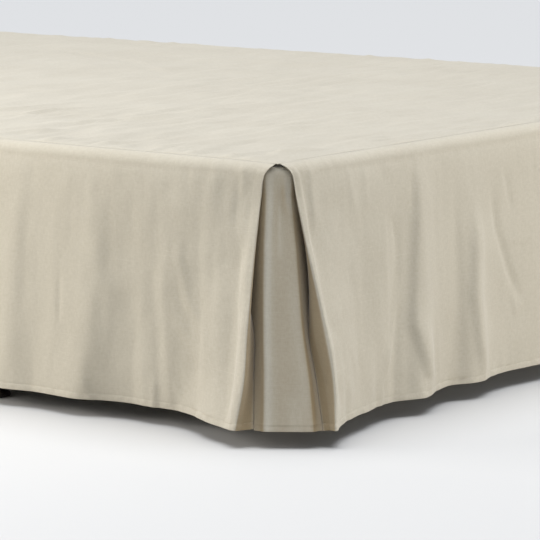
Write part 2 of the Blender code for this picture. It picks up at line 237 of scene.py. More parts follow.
def lumps(u, v, seed):
    """Smooth random values, mostly from -1 to 1, about one lump per unit of u and v. Two grids,
    turned against each other, keep their rows from showing."""
    size = 128
    heights = np.random.default_rng(seed).uniform(-1, 1, (size, size))
    total = 0
    for turn in (0.4, 1.5):
        p = u * math.cos(turn) - v * math.sin(turn)
        q = u * math.sin(turn) + v * math.cos(turn)
        i, j = np.floor(p).astype(int), np.floor(q).astype(int)
        s, t = smooth(p - i), smooth(q - j)
        near = heights[i % size, j % size] * (1 - s) + heights[(i + 1) % size, j % size] * s
        far = heights[i % size, (j + 1) % size] * (1 - s) + heights[(i + 1) % size, (j + 1) % size] * s
        total = total + (near * (1 - t) + far * t) * 0.75
    return total


def lumpy(kinds, u, v, seed=0):
    """The height in mm of some kinds of lumps, at places (u, v) in mm."""
    return sum(kind.height * lumps(u / kind.along, v / kind.down, seed + kind.seed) for kind in kinds)


def creased(creases, u, v):
    """The height in mm that the creases raise the cloth to, at places (u, v) on it in mm."""
    total = np.zeros_like(u)
    for crease in creases:
        points = np.array(crease.path, float)
        lengths = np.hypot(*np.diff(points, axis=0).T)
        whole = lengths.sum()
        nearest = np.full_like(u, 1e9)
        offset, reached = np.zeros_like(u), np.zeros_like(u)
        behind = 0.0
        for a, b, length in zip(points, points[1:], lengths):
            along = (b - a) / length
            s = np.clip((u - a[0]) * along[0] + (v - a[1]) * along[1], 0, length)
            du, dv = u - a[0] - along[0] * s, v - a[1] - along[1] * s
            distance = np.hypot(du, dv)
            side = np.sign(du * abs(along[1]) - dv * along[0] * np.sign(along[1] or 1))
            closer = distance < nearest
            nearest = np.where(closer, distance, nearest)
            offset = np.where(closer, distance * side, offset)
            reached = np.where(closer, (behind + s) / whole, reached)
            behind += length
        width = np.where(offset < 0, crease.before, crease.after)
        fade = smooth(np.clip(np.minimum(reached, 1 - reached) / CREASE_FADE, 0, 1))
        fade = CREASE_TIP + (1 - CREASE_TIP) * fade
        total += crease.height * fade * np.exp(-((nearest / width) ** 2))
    return total


# The panel's rows and columns: finer near the foot, and finest at the edges (in mm from them).
DECK_STEP = 12 * MM
DECK_FINE_STEP = 6 * MM
FINE_TO = 850 * MM
DECK_EDGE = (0, 0.6, 1.4, 2.6, 5)

# The seams hold the panel down, most of all at the two foot corners, and ruck it beside them. Its
# loft and its lowest and highest places are in mm.
SEAM_TUCK = 0.7 * MM
SEAM_TUCK_REACH = 1.6 * MM
CORNER_DIP = 1.3 * MM
CORNER_DIP_LENGTH = 55 * MM
CORNER_DIP_WIDTH = 8 * MM
RUCKS_REACH = 50 * MM
LEVEL_BY_SEAM = 12 * MM
RUCKS = (Lumps(3.0, 42, 15, 3),)
DECK_LUMPS = (Lumps(1.7, 110, 32, 5), Lumps(1.1, 45, 16, 6))
DECK_LOFT = 1
DECK_LOWEST, DECK_HIGHEST = -0.6, 7
DECK_CREASES = crease_rows(
    (3.4, 14, 6, ((36, 577), (105, 566), (155, 538))),
    (3.4, 11, 6, ((26, 463), (68, 459))),
    (2.6, 11, 6, ((20, 426), (50, 409))),
    (4.2, 13, 6, ((22, 372), (61, 363), (108, 336))),
    (2.3, 10, 6, ((31, 338), (60, 318))),
    (2.1, 10, 6, ((44, 284), (82, 267))),
    (3.6, 13, 6, ((30, 242), (61, 237), (112, 225))),
    (3.4, 10, 6, ((20, 210), (36, 182), (68, 167), (82, 150))),
    (2.6, 10, 6, ((18, 130), (44, 104))),
    (3.4, 16, 7, ((238, 754), (290, 732), (373, 733), (448, 711))),
    (2.9, 13, 6, ((226, 578), (275, 579), (330, 570))),
    (3.4, 14, 7, ((320, 564), (361, 546), (436, 537))),
    (3.4, 14, 7, ((446, 539), (504, 524), (566, 513))),
    (2.9, 16, 7, ((312, 824), (388, 790))),
    (2.3, 11, 6, ((280, 429), (366, 419))),
    (4.9, 14, 9, ((80, 80), (137, 74), (186, 68))),
    (-2.6, 7, 8, ((170, 52), (268, 32))),
    (2.3, 13, 6, ((604, 357), (712, 351))),
    (2.9, 7, 4, ((318, 24), (400, 27), (434, 22))),
    (2.3, 10, 6, ((606, 30), (650, 26), (738, 34))),
    (2.1, 10, 6, ((398, 172), (446, 148))),
    (2.6, 13, 7, ((1100, 80), (1160, 130), (1230, 240))),
    (-2.1, 10, 10, ((900, 900), (1120, 1180), (1250, 1500))),
    (2.6, 8, 11, ((500, 1300), (800, 1380), (1150, 1420))),
    (2.3, 10, 7, ((60, 1600), (260, 1640), (420, 1720))),
)


def spread(first, last, step, edge_first=(0,), edge_last=(0,)):
    """Even places from first to last, about a step apart, with finer ones by the edges (mm)."""
    start, end = first + edge_first[-1] * MM, last - edge_last[-1] * MM
    inner = np.linspace(start, end, max(2, round((end - start) / step) + 1))
    before = [first + e * MM for e in edge_first[:-1]]
    after = [last - e * MM for e in reversed(edge_last[:-1])]
    return np.array([*before, *inner, *after])


def deck():
    """The deck panel: x from the left edge, y from the foot edge, both of the bed."""
    edge = SEAM_INSET + SEAM_GAP
    x = spread(edge, BED_WIDTH - edge, DECK_STEP, DECK_EDGE, DECK_EDGE)
    near = spread(edge, FINE_TO, DECK_FINE_STEP, DECK_EDGE)
    y = np.append(near[:-1], spread(FINE_TO, BED_LENGTH - HEAD_INSET, DECK_STEP, (0,), DECK_EDGE))
    across, up = np.meshgrid(x, y)
    to_side, to_foot = np.minimum(across - x[0], x[-1] - across), up - y[0]
    to_seam, to_corner = np.minimum(to_side, to_foot), np.hypot(to_side, to_foot)
    tuck = SEAM_TUCK * np.exp(-((to_seam / SEAM_TUCK_REACH) ** 2))
    at_corner = -((to_corner / CORNER_DIP_LENGTH) ** 2) - (to_seam / CORNER_DIP_WIDTH) ** 2
    tuck += CORNER_DIP * np.exp(at_corner)
    u, v = across / MM, up / MM
    raised = creased(DECK_CREASES, u, v) + lumpy(RUCKS, u, v) * np.exp(-to_seam / RUCKS_REACH)
    raised = (DECK_LOFT + raised + lumpy(DECK_LUMPS, u, v)) * np.clip(to_seam / LEVEL_BY_SEAM, 0, 1)
    raised = np.clip(raised, DECK_LOWEST, DECK_HIGHEST) * MM - tuck
    top = np.full_like(across, DECK_TOP - LINEN_THICKNESS / 2)
    points = np.stack([FOOT_LEFT[0] + across, FOOT_LEFT[1] + up, top], axis=2)
    piece = cloth("deck_panel", points, np.stack([across, up], axis=2), raised)
    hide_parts("deck")


deck()

# ----------------------------------------
# Drops. Three lengths of the same linen, sewn to the deck panel's edges and hemmed. Each hangs
# round the bed's soft edge in uneven folds and folds back into the pleat at its foot corner.

FOOT_RIGHT = (BED_X + BED_WIDTH / 2, BED_Y - BED_LENGTH / 2)
SOLID_CLOTH = 1.5 * MM
ROLL = 20 * MM
DROP = 381 * MM
ROLL_CENTRE_Z = DECK_TOP - SOLID_CLOTH / 2 - ROLL
UPRIGHT = math.pi / 2
SEAM_ANGLE = math.asin((ROLL - SEAM_INSET) / ROLL)
RETURN_ANGLE = math.radians(40)
ROLL_LENGTH = ROLL * (UPRIGHT - SEAM_ANGLE)
HEM = ROLL_LENGTH + DROP - SOLID_CLOTH / 2 - ROLL
SEAM_ALLOWANCE = 6 * MM

# The mesh of a drop. The rows of the hem are given in mm from its edge, one along the stitches.
ROLL_ROWS = 8
HANG_STEP = 5 * MM
STITCH_LINE = 9.4
HEM_ROWS = (14, 11.5, 10.2, STITCH_LINE, 8.6, 7.4, 5, 2.5, 0.8, 0)
NEAR_STEP = 3.6 * MM
FAR_STEP = 8 * MM
DROP_EASING = 7

# The legs of a folded end, as places from 0 to 1 along each: the seam allowance, the return from
# the inner seam to the lip, and the fold from the lip to the drop. The return starts lower on the
# rolled edge than the drop, and along the fold a share of that is left.
LEGS = [("tail", t) for t in (0, 0.5)]
LEGS += [("return", k / 9) for k in range(9)]
LEGS += [("fold", k / 14) for k in range(14)]
LOWERING = ((0, 1), (0.25, 0.8), (0.5, 0.45), (0.75, 0.1), (1, 0))

# One foot corner's pleat, level by level down the cloth, in mm: points (along, out) from the
# corner. Names in _a are on the long side, names in _b on the foot side.
Level = namedtuple("Level", "down fold_a lip_a inner_a crease_a crease_b inner_b lip_b fold_b")
PLEAT = (
    Level(0, (18, -1.2), (20.5, -2.5), (66, -2.5), (27, -5), (35, -5), (66, -2.5), (20.5, -2.5), (18, -1.2)),
    Level(28, (31, -1.2), (33.5, -2.5), (86, -2.5), (28, -5), (35, -5), (86, -2.5), (34.5, -2.5), (32, -1.2)),
    Level(58, (34, 1), (37, -1.5), (86, -2.5), (27, -4), (33, -5), (86, -2.5), (38, -0.5), (35, 3)),
    Level(132, (31, 20), (33, 15), (80, -2), (22, 8), (27, 8), (78, 0), (39, 15), (36, 22)),
    Level(247, (26, 45), (25.5, 40), (36, 17), (10, 26), (13, 30), (36.5, 24), (28, 38), (31, 58)),
    Level(320, (21, 61), (19.5, 54.5), (25, 31.5), (0, 38), (4, 49), (25, 47), (24, 61), (24, 79)),
    Level(388, (26, 75), (23, 69), (12, 49), (-8, 49), (-8, 65), (12, 69), (12, 83), (10, 92)),
)

# Folds of a drop: place along the side at the hem, half-width, push outwards at the hem, and how
# far the fold leans towards the foot corner on its way up, in mm.
Fold = namedtuple("Fold", "place width push lean")
LEFT_FOLDS = (
    Fold(205, 36, -8, 0),
    Fold(288, 42, -11, 12),
    Fold(334, 16, -3, 30),
    Fold(374, 36, 13, 38),
    Fold(425, 30, 6, 25),
    Fold(520, 52, 14, 10),
    Fold(640, 50, -4, -10),
)
FOOT_FOLDS = (
    Fold(160, 30, 7, -100),
    Fold(303, 36, 22, -60),
    Fold(408, 26, -8, -30),
    Fold(462, 34, 14, -24),
    Fold(560, 36, -3, 0),
    Fold(655, 40, 4, 12),
)
LATE_GROWTH = 1.25

# How a drop leaves its corner fold: softness of the fold, how far its flare is felt along the hem,
# the shape in which it dies away, and how much lower the hem hangs at the inner seam.
Leaving = namedtuple("Leaving", "softness reach crisp sag")
LEAVING = {"a": Leaving(12 * MM, 166 * MM, False, 0), "b": Leaving(6 * MM, 200 * MM, True, 2.4 * MM)}
SOFTNESS_AT_TOP = 0.25
CLEAR_OF_FOLD = 1.6
REACH_AT_TOP = 0.6
CRISP_FALL = 1.6
SHIFT_REACH = 140 * MM

# Below the rolled edge a drop swells out a little before it hangs straight.
SWELL = 8 * MM
SWELL_REACH = 24 * MM

# The fine relief of a drop in mm: streaks below the rolled edge, and small lumps. Both are held
# flat at the seam and in the folded ends, and are stronger where the corner has been handled.
STREAKS = (Lumps(0.38, 15, 70, 0), Lumps(0.42, 24, 34, 1))
FINE_LUMPS = (Lumps(0.13, 8, 11, 2), Lumps(0.07, 7, 26, 3))
STREAKS_FROM, STREAKS_OVER = 8, 40
HELD_BY_SEAM = 6
HELD_IN_FOLD = 0.15
HANDLED_ALL_OVER = 0.9
HANDLED_AT_CORNER = 1.5
HANDLED_REACH = 230

# The relief of the hem in mm: the doubled band, the trough of its stitches with its puckers, and
# the slack between the stitches and the edge.
BAND = 0.16
BAND_STEEPNESS = 1.1
TROUGH = 0.15
TROUGH_WIDTH = 1.2
PUCKER = 0.4
PUCKER_LENGTH = 5.2
HEM_SLACK = (Lumps(0.7, 8, 30, 1),)
SLACK_FROM_EDGE, SLACK_WIDTH = 5, 5

# A side of the bed: where it starts at the foot, the way along it and the way outwards.
Side = namedtuple("Side", "name length flare folds creases start ahead outwards")
End = namedtuple("End", "letter pleat far")

# Sharper creases of the two drops beside the left foot corner, as (along, down) from that corner.
LEFT_CREASES = crease_rows(
    (1.4, 20, 12, ((340, 60), (342, 115), (340, 222), (344, 302), (360, 350), (386, 410))),
    (-1.3, 5, 5, ((408, 200), (408, 280))),
    (2.2, 18, 16, ((314, 170), (318, 240), (325, 300), (333, 410))),
    (0.8, 16, 20, ((246, 100), (243, 228), (247, 420))),
    (2.0, 30, 24, ((300, 150), (296, 234), (298, 370), (300, 410))),
    (1.8, 8, 9, ((184, 120), (180, 146), (165, 219), (133, 259), (98, 308))),
    (1.5, 7, 9, ((186, 240), (182, 256), (157, 283), (118, 314))),
    (-9, 15, 32, ((62, 90), (66, 155), (62, 247), (60, 320), (60, 420))),
    (-5, 20, 26, ((70, 190), (68, 260), (64, 330), (60, 460))),
    (0.8, 20, 28, ((106, 110), (104, 193), (104, 293), (108, 420))),
    (-1.5, 16, 22, ((146, 90), (146, 200), (146, 330), (150, 400))),
    (4.0, 20, 16, ((200, 90), (206, 222), (206, 330), (200, 420))),
    (1.2, 5, 6, ((229, 340), (236, 400))),
    (1.2, 5, 6, ((361, 350), (344, 400))),
    (1.2, 6, 6, ((194, 336), (164, 404))),
    (1.4, 4, 5, ((29, 2), (42, 28), (45, 58), (42, 132), (34, 247))),
    (-0.9, 4, 5, ((38, 4), (51, 30), (54, 60), (51, 140))),
    (1.2, 5, 6, ((70, 6), (66, 60))),
)
FOOT_CREASES = crease_rows(
    (1.4, 4, 5, ((29, 2), (42, 28), (46, 58), (46, 132))),
    (-0.9, 4, 5, ((38, 4), (51, 30), (55, 60), (54, 140))),
    (2.7, 6, 13, ((72, 8), (69, 58), (66, 120))),
    (1.7, 7, 9, ((161, 20), (164, 90))),
    (1.7, 8, 10, ((205, 26), (199, 100))),
    (-1.7, 6, 10, ((322, 50), (318, 116))),
    (-3.1, 14, 10, ((283, 90), (280, 121), (267, 242), (252, 346), (244, 440))),
    (3.4, 45, 14, ((236, 90), (236, 180), (232, 300), (222, 380))),
    (3.5, 36, 80, ((112, 60), (112, 200), (118, 300), (110, 440))),
    (8.0, 12, 26, ((344, 30), (338, 61), (316, 188), (302, 277), (316, 343), (344, 400))),
    (-1.5, 5, 6, ((264, 105), (274, 148))),
    (-2.5, 14, 12, ((440, 100), (440, 144), (436, 261), (424, 400))),
    (7.0, 11, 26, ((488, 110), (484, 159), (470, 251), (473, 327), (486, 410))),
    (-3.1, 9, 9, ((535, 80), (539, 104), (549, 159), (588, 244), (616, 290))),
    (-1.5, 7, 7, ((574, 60), (595, 140))),
    (0.8, 6, 6, ((550, 178), (654, 188))),
    (2.9, 8, 9, ((272, 200), (270, 222), (248, 295), (211, 358), (200, 400))),
    (2.4, 4, 5, ((219, 360), (200, 404))),
    (1.5, 6, 6, ((588, 266), (593, 296), (618, 276))),
    (-1.7, 5, 5, ((306, 356), (336, 370))),
    (2.5, 6, 6, ((40, 50), (42, 132), (37, 247), (31, 320), (17, 410))),
    (-3.7, 10, 18, ((58, 60), (58, 194), (60, 296), (44, 400))),
)


def pleat_curves(opening):
    """The pleat's points for every mm down the cloth, on smooth curves through the table, in
    metres. Its flare is eased by the opening."""
    rows = np.array([[(level.down, 0), *level[1:]] for level in PLEAT], float)
    heights = rows[:, 0, 0]
    down = np.arange(heights[-1] + 1)
    i = np.clip(np.searchsorted(heights, down, side="right") - 1, 0, len(heights) - 2)
    before, after = np.maximum(i - 1, 0), np.minimum(i + 2, len(heights) - 1)
    span = heights[i + 1] - heights[i]
    t = ((down - heights[i]) / span)[:, None, None]
    slope_1 = (rows[i + 1] - rows[before]) * (span / (heights[i + 1] - heights[before]))[:, None, None]
    slope_2 = (rows[after] - rows[i]) * (span / (heights[after] - heights[i]))[:, None, None]
    points = (2 * t**3 - 3 * t**2 + 1) * rows[i] + (t**3 - 2 * t**2 + t) * slope_1
    points += (3 * t**2 - 2 * t**3) * rows[i + 1] + (t**3 - t**2) * slope_2
    points[..., 1] = np.where(points[..., 1] > 0, points[..., 1] * opening, points[..., 1])
    return {name: points[:, k] * MM for k, name in enumerate(Level._fields) if k}


def pleat_points(end, down, *names):
    """The named points of an end's pleat at places down the cloth, as arrays (..., 2)."""
    curves = [end.pleat[f"{name}_{end.letter}"] for name in names]
    whole = np.arange(len(curves[0])) * MM
    return [np.stack([np.interp(down, whole, c[:, 0]), np.interp(down, whole, c[:, 1])], -1) for c in curves]


def growth(down):
    """The share of a fold's push that shows: none on the rolled edge, all at the hem."""
    return np.maximum(0, (down - ROLL_LENGTH) / (HEM - ROLL_LENGTH)) ** LATE_GROWTH


def loose_folds(first, last, seed):
    """Uneven folds for a stretch of a drop."""
    draw = random.Random(seed)
    folds = []
    place = first
    while place < last:
        push = draw.choice((-1, 1)) * draw.uniform(5, 11) + 3
        width, lean = draw.uniform(30, 52), draw.uniform(-30, 30)
        folds.append(Fold(place, width, push, lean))
        place += draw.uniform(70, 130)
    return tuple(folds)


def loose_creases(first, last, seed):
    """Uneven creases for a stretch of a drop: long ones down it and a few slanting ones."""
    draw = random.Random(seed)
    creases = []
    place = first
    while place < last:
        top, foot, lean = draw.uniform(40, 170), draw.uniform(330, 420), draw.uniform(-40, 40)
        height, before, after = draw.choice((-1.3, 1.6, 2.4)), draw.uniform(8, 14), draw.uniform(12, 22)
        path = ((place - lean, top), (place - lean * 0.4, (top + foot) / 2), (place, foot))
        creases.append(Crease(height, before, after, path))
        slanting = draw.random() < 0.4
        if slanting:
            u, v = place + draw.uniform(-30, 30), draw.uniform(90, 280)
            path = ((u, v), (u + draw.uniform(20, 50), v + draw.uniform(30, 90)))
            creases.append(Crease(draw.choice((-1.0, 1.2)), 8, 9, path))
        place += draw.uniform(55, 95)
    return tuple(creases)


def from_end(side, end, along):
    """Distance from an end's corner, and also the place at such a distance."""
    return side.length - along if end.far else along


def open_hang(side, along, down):
    """How far a drop stands out where no corner fold reaches."""
    share = growth(down)
    below_roll = np.maximum(0, down - ROLL_LENGTH)
    out = side.flare * share + SWELL * (1 - np.exp(-below_roll / SWELL_REACH) - share)
    for fold in side.folds:
        centre = (fold.place - fold.lean * (1 - share)) * MM
        out = out + fold.push * MM * share * np.exp(-(((along - centre) / (fold.width * MM)) ** 2))
    return out


def pull(end, distance, down):
    """The share of its corner fold's flare that a drop has at a distance from the fold."""
    leaving = LEAVING[end.letter]
    reach = leaving.reach * (REACH_AT_TOP + (1 - REACH_AT_TOP) * growth(down))
    u = np.clip(distance / reach, 0, 1)
    return (1 - u) ** CRISP_FALL if leaving.crisp else 0.5 + 0.5 * np.cos(math.pi * u)


def drop_out(side, ends, along, down):
    """How far a drop stands out, its corner folds included."""
    out = open_hang(side, along, down)
    for end in ends:
        (fold,) = pleat_points(end, down, "fold")
        lift = fold[..., 1] - open_hang(side, from_end(side, end, fold[..., 0]), down)
        out = out + lift * pull(end, from_end(side, end, along) - fold[..., 0], down)
    return out


def rolled(out, angle, down):
    """(out, z) on the cloth: round the rolled edge first, then down."""
    round_edge = angle < UPRIGHT
    radius = ROLL + out
    wide = np.where(round_edge, radius * np.sin(angle) - ROLL, out)
    return wide, ROLL_CENTRE_Z + np.where(round_edge, radius * np.cos(angle), ROLL_LENGTH - down)


def levels_from(start):
    """(angle, down) for the rows of columns that start at angles on the rolled edge."""
    start = np.atleast_1d(start)
    turns = start + (UPRIGHT - start) * (np.arange(ROLL_ROWS) / ROLL_ROWS)[:, None]
    straight = spread(ROLL_LENGTH, HEM - HEM_ROWS[0] * MM, HANG_STEP)
    hang = np.append(straight, HEM - np.array(HEM_ROWS[1:]) * MM)
    hang = np.tile(hang[:, None], len(start))
    down = np.concatenate([ROLL * (turns - SEAM_ANGLE), hang])
    return np.concatenate([turns, np.full_like(hang, UPRIGHT)]), down


def unit(vectors):
    return vectors / np.linalg.norm(vectors, axis=-1, keepdims=True)


def rounded(start, corner, end, t):
    """A place on the parabola that rounds a corner off."""
    return (1 - t) ** 2 * start + 2 * t * (1 - t) * corner + t**2 * end


def through(start, middle, end, t):
    """A place on the parabola that runs through three points."""
    return rounded(start, 2 * middle - (start + end) / 2, end, t)


def seam_tail(lip, inner, beyond):
    """Away from the pleat's opening, the way that the seam allowance at an inner seam points."""
    return -unit(unit(lip - inner) + unit(beyond - inner))


def painted_shade_by_depth(down):
    """The share of the painted pleat shade that shows down the cloth: none where the pleat is pressed
    shut near the rolled edge.
    """
    shut_to, open_over = 14 * MM, 40 * MM
    return np.clip((down - shut_to) / open_over, 0, 1)


def painted_shade_share(leg, t):
    """How much painted shade a leg of a folded end gets: all of it within the lip, and none a
    little outside it."""
    if leg == "fold":
        return np.clip((0.5 - t) * 8, 0, 0.9)
    return 0.5 if leg == "tail" else min(1, 0.5 + 2 * t)


def folded(side, ends, end):
    """A drop's folded end: (along, out, z, down, loose, painted shade) arrays, from its inner seam
    round the lip to the fold. Loose is the share of the creases that shows, and the painted shade
    darkens the cloth that lies in the pleat."""
    leaving = LEAVING[end.letter]
    results = []
    for leg, t in LEGS:
        lowered = np.interp(t, *zip(*LOWERING)) if leg == "fold" else 1
        start_angle = SEAM_ANGLE + (RETURN_ANGLE - SEAM_ANGLE) * lowered
        angle, down = [values[:, 0] for values in levels_from(start_angle)]
        fold, lip, inner, beyond = pleat_points(end, down, "fold", "lip", "inner", "crease")
        begin = fold[:, 0] + leaving.softness * (SOFTNESS_AT_TOP + (1 - SOFTNESS_AT_TOP) * growth(down))
        start = np.stack([begin, drop_out(side, ends, from_end(side, end, begin), down)], -1)
        tail = inner + seam_tail(lip, inner, beyond) * SEAM_ALLOWANCE
        if leg == "tail":
            point, sag = tail + (inner - tail) * t, 1
        elif leg == "return":
            point, sag = inner + (lip - inner) * t, 1 - t
        else:
            point, sag = through(lip, fold, start, t), 0
        out, z = rolled(point[:, 1], angle, down)
        z = z - leaving.sag * sag * growth(down)
        loose = np.full_like(down, t**2 if leg == "fold" else 0)
        # Painted shade, darker the deeper the cloth lies in the pleat.
        shade_paint = painted_shade_by_depth(down) * painted_shade_share(leg, t)
        results.append((from_end(side, end, point[:, 0]), out, z, down, loose, shade_paint))
    return [np.stack(values, axis=1) for values in zip(*results)]


def hanging(side, ends, stations):
    """A drop's columns at places on the hem, drawn aside by the corner folds on their way up."""
    angle, down = levels_from(np.full(len(stations), SEAM_ANGLE))
    along = np.repeat(stations[None, :], len(down), axis=0)
    for end in ends:
        (hem_fold,) = pleat_points(end, HEM, "fold")
        (fold,) = pleat_points(end, down, "fold")
        share = np.maximum(0, 1 - (from_end(side, end, stations) - hem_fold[0]) / SHIFT_REACH) ** 2
        along = along + (fold[..., 0] - hem_fold[0]) * share * (-1 if end.far else 1)
    out, z = rolled(drop_out(side, ends, along, down), angle, down)
    return [along, out, z, down, np.ones_like(down), np.zeros_like(down)]


def eased(grid, passes):
    """A grid of points with its columns drawn a little towards their neighbours, except those of
    its seams."""
    for _ in range(passes):
        grid = grid.copy()
        grid[:, 3:-3] = (grid[:, 2:-4] + 2 * grid[:, 3:-3] + grid[:, 4:-2]) / 4
    return grid


def hem_relief(cut_along, down, seed):
    """The turned-up hem, in mm: a slightly thicker band under a puckered line of stitches."""
    place, to_edge = cut_along / MM, (HEM - down) / MM
    to_stitches = to_edge - STITCH_LINE
    band = BAND * (1 - np.tanh(to_stitches * BAND_STEEPNESS))
    pucker = 0.5 + 0.5 * lumps(place / PUCKER_LENGTH, 0 * place, seed)
    trough = -(TROUGH + PUCKER * pucker) * np.exp(-((to_stitches / TROUGH_WIDTH) ** 2))
    slack = lumpy(HEM_SLACK, place, to_edge, seed)
    return band + trough + slack * np.exp(-(((to_edge - SLACK_FROM_EDGE) / SLACK_WIDTH) ** 2))


def drop(side, ends, fine_to, last, seed):
    """One drop, from the fold at its first end to its last place or to the fold at its other end.
    Gives the points along its stitches."""
    folds = [pleat_points(end, HEM, "fold")[0][0] for end in ends]
    clear = [fold + CLEAR_OF_FOLD * LEAVING[end.letter].softness for fold, end in zip(folds, ends)]
    stop = last if len(ends) == 1 else side.length - clear[1]
    fine = spread(clear[0], fine_to, NEAR_STEP)
    stations = np.append(fine[:-1], spread(fine_to, stop, FAR_STEP))
    blocks = [folded(side, ends, ends[0]), hanging(side, ends, stations)]
    if len(ends) > 1:
        blocks.append([values[:, ::-1] for values in folded(side, ends, ends[1])])
    # The last of these is the painted shade in the pleats.
    along, out, z, down, loose, shade_paint = [np.concatenate(values, axis=1) for values in zip(*blocks)]
    middle = len(down) // 2
    steps = np.hypot(np.diff(along[middle]), np.diff(out[middle]))
    cut_along = np.tile(np.append(0, np.cumsum(steps)), (len(down), 1))
    x, y = [s + along * a + out * o for s, a, o in zip(side.start, side.ahead, side.outwards)]
    grid = eased(np.stack([x, y, z], axis=2), DROP_EASING)
    u, v = along / MM, down / MM
    streaks = lumpy(STREAKS, u, v, seed) * np.clip((v - STREAKS_FROM) / STREAKS_OVER, 0, 1)
    handled = HANDLED_ALL_OVER + HANDLED_AT_CORNER * np.exp(-((u / HANDLED_REACH) ** 2))
    relief = (streaks + lumpy(FINE_LUMPS, u, v, seed)) * handled
    raised = creased(side.creases, u, v) * loose + relief * (HELD_IN_FOLD + (1 - HELD_IN_FOLD) * loose)
    raised = raised * np.clip(v / HELD_BY_SEAM, 0, 1) + hem_relief(cut_along, down, seed + 4)
    cut = np.stack([cut_along, down], axis=2)
    inside_out = side.ahead[0] * side.outwards[1] < side.ahead[1] * side.outwards[0]
    if inside_out:
        grid, cut, raised, shade_paint = [values[:, ::-1] for values in (grid, cut, raised, shade_paint)]
    piece = cloth(f"{side.name}_linen", grid, cut, raised * MM, shade_paint)
    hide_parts(side.name)
    return grid[len(down) - len(HEM_ROWS) + HEM_ROWS.index(STITCH_LINE)]


FULL_PLEAT, EASED_PLEAT = pleat_curves(1.0), pleat_curves(0.86)
HEAD_END = BED_LENGTH - HEAD_INSET
FLARE_LEFT, FLARE_FOOT, FLARE_RIGHT = 8 * MM, 28 * MM, 12 * MM
FINE_LEFT, FINE_FOOT, FINE_RIGHT = 690 * MM, 690 * MM, 120 * MM
folds = LEFT_FOLDS + loose_folds(740, 2000, seed=3)
creases = LEFT_CREASES + loose_creases(500, 1990, seed=21)
left_side = Side("drop_left", BED_LENGTH, FLARE_LEFT, folds, creases, FOOT_LEFT, (0, 1), (-1, 0))
folds = FOOT_FOLDS + loose_folds(760, 1380, seed=5)
creases = FOOT_CREASES + loose_creases(690, 1450, seed=22)
foot_side = Side("drop_foot", BED_WIDTH, FLARE_FOOT, folds, creases, FOOT_LEFT, (1, 0), (0, -1))
folds, creases = loose_folds(230, 2000, seed=8), loose_creases(90, 1990, seed=23)
right_side = Side("drop_right", BED_LENGTH, FLARE_RIGHT, folds, creases, FOOT_RIGHT, (0, 1), (1, 0))

foot_ends = [End("b", FULL_PLEAT, False), End("b", EASED_PLEAT, True)]
left_stitching = drop(left_side, [End("a", FULL_PLEAT, False)], FINE_LEFT, HEAD_END, seed=31)
foot_stitching = drop(foot_side, foot_ends, FINE_FOOT, None, seed=41)
right_stitching = drop(right_side, [End("a", EASED_PLEAT, False)], FINE_RIGHT, HEAD_END, seed=51)

# ----------------------------------------
# Corner pieces. A separate length of linen behind the folds of each foot corner, sewn to both
# drops at the pleat's inner seams, with a slack fold on each side of the corner.

CORNER_ANGLE = math.radians(30)
CORNER_BACK = 5 * MM
CORNER_SAG = 1.5 * MM
SEAM_SPREAD = 1.05 * MM
CREASE_SOFTNESS = 5 * MM
FACE_SOFTNESS = 10 * MM
CORNER_EASING = 3
CUT_APART = 0.9

# The columns of each slack fold, of each rounded crease and of the face between them, and the
# columns between which the face, turned from the foot end to the side, bows out near its top.
SLACK_STEPS_A, SLACK_STEPS_B = 6, 7
ROUND_STEPS = 8
FACE_STEPS = 5
FACE_FROM, FACE_TO = 11, 23
CORNER_FACE = math.radians(36)
TOP_PUFF = 5 * MM
TOP_PUFF_DEPTH = 38 * MM
TOP_PUFF_FADE = 1.6
TOP_PUFF_SKEW = 1.6

# Painted shade by column from seam to seam, deepest in the slack folds; below 0 it is a painted
# # highlight on the rim of the crease by the long side. Only a share of it shows at the top. Painted
# # highlights make the cloth paler on the ridges of its creases, with painted shade in their
# # troughs, and along its top.
PAINTED_SHADE = ((0, 0.5), (8, 0.95), (10, 0.1), (12, -0.2), (13.5, -0.15), (15.5, 0.35), (21, 0.35), (24, 0.5),
          (26, 1), (37, 0.5))
PAINTED_SHADE_AT_TOP = 0.1
CREASE_PAINTED_SHADING = 0.26
TOP_PAINTED_HIGHLIGHT = 0.25
TOP_PAINTED_HIGHLIGHT_REACH = 10 * MM

# The relief of the face in mm, which is held flat beside the seams.
HELD_TO, HELD_OVER = 5.6 * MM, 14 * MM
CORNER_LUMPS = (Lumps(0.3, 8, 20, 0),)
CORNER_CREASES = crease_rows(
    (1.3, 4, 6, ((82, 22), (92, 58), (99, 84))),
    (-1.0, 4, 5, ((74, 34), (80, 90))),
    (0.9, 5, 6, ((70, 60), (68, 150))),
    (0.8, 7, 8, ((86, 150), (91, 300), (84, 400))),
    (-0.8, 8, 8, ((99, 200), (103, 400))),
    (0.7, 5, 6, ((72, 330), (78, 404))),
)


def steps_between(start, end, count):
    """Even places from a start up to, but not at, an end."""
    return [start + (end - start) * k / count for k in range(count)]


